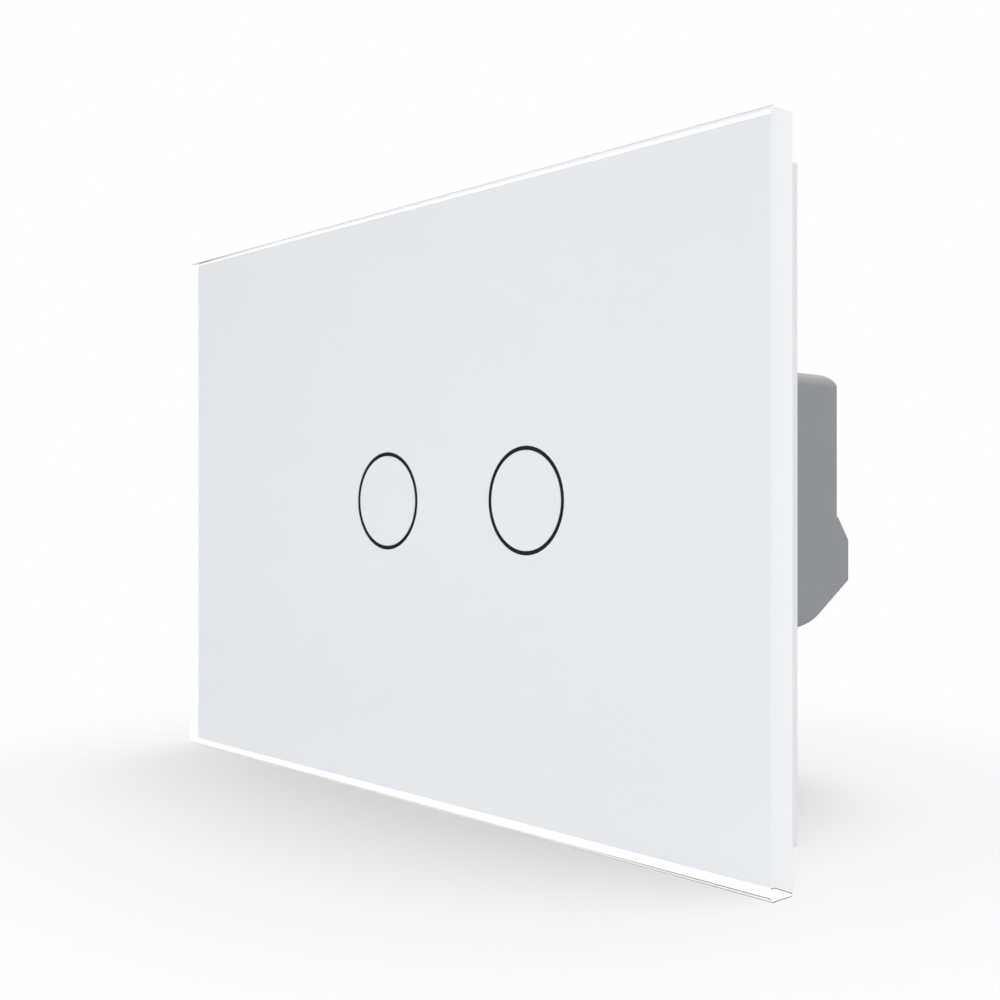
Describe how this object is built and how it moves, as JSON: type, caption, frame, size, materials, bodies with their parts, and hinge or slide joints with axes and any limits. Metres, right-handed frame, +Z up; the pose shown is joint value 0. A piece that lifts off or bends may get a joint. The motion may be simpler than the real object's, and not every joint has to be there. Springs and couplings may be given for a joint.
{
  "type": "touch light switch",
  "caption": "Wall touch light switch with a clear glass panel, white back print with ring marks, white base frame and a grey rear housing with relays and screw terminals.",
  "frame": {"origin": "middle of the plate on the wall plane, between the two wall screw slots", "axes": "+X to the right seen from the room, +Y into the wall, +Z up"},
  "size_m": [0.118, 0.0506, 0.08],
  "materials": {
    "clear_glass": "polished, clear",
    "white_ink": "back print, smooth",
    "black_ink": "back print, smooth",
    "foam_tape": "double-sided tape",
    "white_plastic": "moulded, satin",
    "grey_plastic": "moulded, fine grain",
    "zinc_steel": "zinc plated sheet",
    "screw_steel": "zinc plated",
    "insulation_film": "insulating sheet",
    "green_board": "solder mask over glass fibre",
    "spring_brass": "gold plated",
    "clear_plastic": "clear moulding",
    "lamp_white": "lamp moulding",
    "black_plastic": "moulded",
    "blue_plastic": "relay case",
    "copper_winding": "enamelled copper winding",
    "soft_iron": "nickel plated iron",
    "contact_brass": "brass sheet",
    "capacitor_sleeve": "shrink sleeve",
    "yellow_box": "resin-filled box",
    "ferrite": "sintered",
    "yellow_tape": "winding tape",
    "blue_resin": "dipped resin",
    "brown_ceramic": "fuse body",
    "terminal_plastic": "moulded"
  },
  "bodies": {
    "switch_body": {"base_frame": "white_plastic", "mounting_bracket": "zinc_steel", "rear_housing": "grey_plastic", "housing_screws": "screw_steel", "insulation_sheet": "insulation_film", "touch_board": "green_board", "touch_board_screws": "screw_steel", "touch_spring_left": "spring_brass", "touch_spring_right": "spring_brass", "light_guide_left": "clear_plastic", "light_guide_right": "clear_plastic", "indicator_leds": "lamp_white", "touch_chip": "black_plastic", "header_strip": "black_plastic", "header_pins": "spring_brass", "header_socket": "black_plastic", "power_board": "green_board", "power_board_screws": "screw_steel", "relay_left_base": "black_plastic", "relay_left_case": "blue_plastic", "relay_left_coil": "copper_winding", "relay_left_yoke": "soft_iron", "relay_left_contact": "contact_brass", "relay_right_base": "black_plastic", "relay_right_case": "blue_plastic", "relay_right_coil": "copper_winding", "relay_right_yoke": "soft_iron", "relay_right_contact": "contact_brass", "bulk_capacitor": "capacitor_sleeve", "film_capacitor": "yellow_box", "transformer_core": "ferrite", "transformer_bobbin": "black_plastic", "transformer_winding": "yellow_tape", "varistor": "blue_resin", "fuse": "brown_ceramic", "rectifier_chip": "black_plastic", "terminal_block": "terminal_plastic", "contact_bars": "contact_brass"},
    "front_panel": {"glass_panel": "clear_glass", "white_back_print": "white_ink", "ring_mark_left": "black_ink", "ring_mark_right": "black_ink", "adhesive_tape": "foam_tape", "panel_carrier": "white_plastic"},
    "terminal_screw_1": {"terminal_screw_1": "screw_steel"},
    "terminal_screw_2": {"terminal_screw_2": "screw_steel"},
    "terminal_screw_3": {"terminal_screw_3": "screw_steel"},
    "terminal_screw_4": {"terminal_screw_4": "screw_steel"},
    "clamp_plate_1": {"clamp_plate_1": "zinc_steel"},
    "clamp_plate_2": {"clamp_plate_2": "zinc_steel"},
    "clamp_plate_3": {"clamp_plate_3": "zinc_steel"},
    "clamp_plate_4": {"clamp_plate_4": "zinc_steel"},
    "relay_left_armature": {"relay_left_armature": "soft_iron"},
    "relay_right_armature": {"relay_right_armature": "soft_iron"}
  },
  "joints": [
    {"name": "panel_pull", "type": "slide", "parent": "switch_body", "child": "front_panel", "axis": [0, -1, 0], "range_m": [0, 0.02]},
    {"name": "screw_1_turn", "type": "hinge", "parent": "switch_body", "child": "terminal_screw_1", "pos_m": [-0.0211, 0.034, -0.0076], "axis": [0, -1, 0], "range_deg": [0, 1810]},
    {"name": "screw_2_turn", "type": "hinge", "parent": "switch_body", "child": "terminal_screw_2", "pos_m": [-0.0081, 0.034, -0.0076], "axis": [0, -1, 0], "range_deg": [0, 1810]},
    {"name": "screw_3_turn", "type": "hinge", "parent": "switch_body", "child": "terminal_screw_3", "pos_m": [0.0049, 0.034, -0.0076], "axis": [0, -1, 0], "range_deg": [0, 1810]},
    {"name": "screw_4_turn", "type": "hinge", "parent": "switch_body", "child": "terminal_screw_4", "pos_m": [0.0179, 0.034, -0.0076], "axis": [0, -1, 0], "range_deg": [0, 1810]},
    {"name": "clamp_1_lift", "type": "slide", "parent": "switch_body", "child": "clamp_plate_1", "axis": [0, 1, 0], "range_m": [0, 0.0025]},
    {"name": "clamp_2_lift", "type": "slide", "parent": "switch_body", "child": "clamp_plate_2", "axis": [0, 1, 0], "range_m": [0, 0.0025]},
    {"name": "clamp_3_lift", "type": "slide", "parent": "switch_body", "child": "clamp_plate_3", "axis": [0, 1, 0], "range_m": [0, 0.0025]},
    {"name": "clamp_4_lift", "type": "slide", "parent": "switch_body", "child": "clamp_plate_4", "axis": [0, 1, 0], "range_m": [0, 0.0025]},
    {"name": "relay_left_close", "type": "hinge", "parent": "switch_body", "child": "relay_left_armature", "pos_m": [-0.0284, 0.01435, 0.00575], "axis": [0, 0, 1], "range_deg": [0, 4.5], "stiffness_Nm_per_rad": 0.002, "springref_deg": -8.59},
    {"name": "relay_right_close", "type": "hinge", "parent": "switch_body", "child": "relay_right_armature", "pos_m": [0.0132, 0.01435, 0.00575], "axis": [0, 0, 1], "range_deg": [0, 4.5], "stiffness_Nm_per_rad": 0.002, "springref_deg": -8.59}
  ],
  "couplings": [
    {"joint": "screw_1_turn", "follows": "clamp_1_lift", "rad_per_m": 12566},
    {"joint": "screw_2_turn", "follows": "clamp_2_lift", "rad_per_m": 12566},
    {"joint": "screw_3_turn", "follows": "clamp_3_lift", "rad_per_m": 12566},
    {"joint": "screw_4_turn", "follows": "clamp_4_lift", "rad_per_m": 12566}
  ]
}
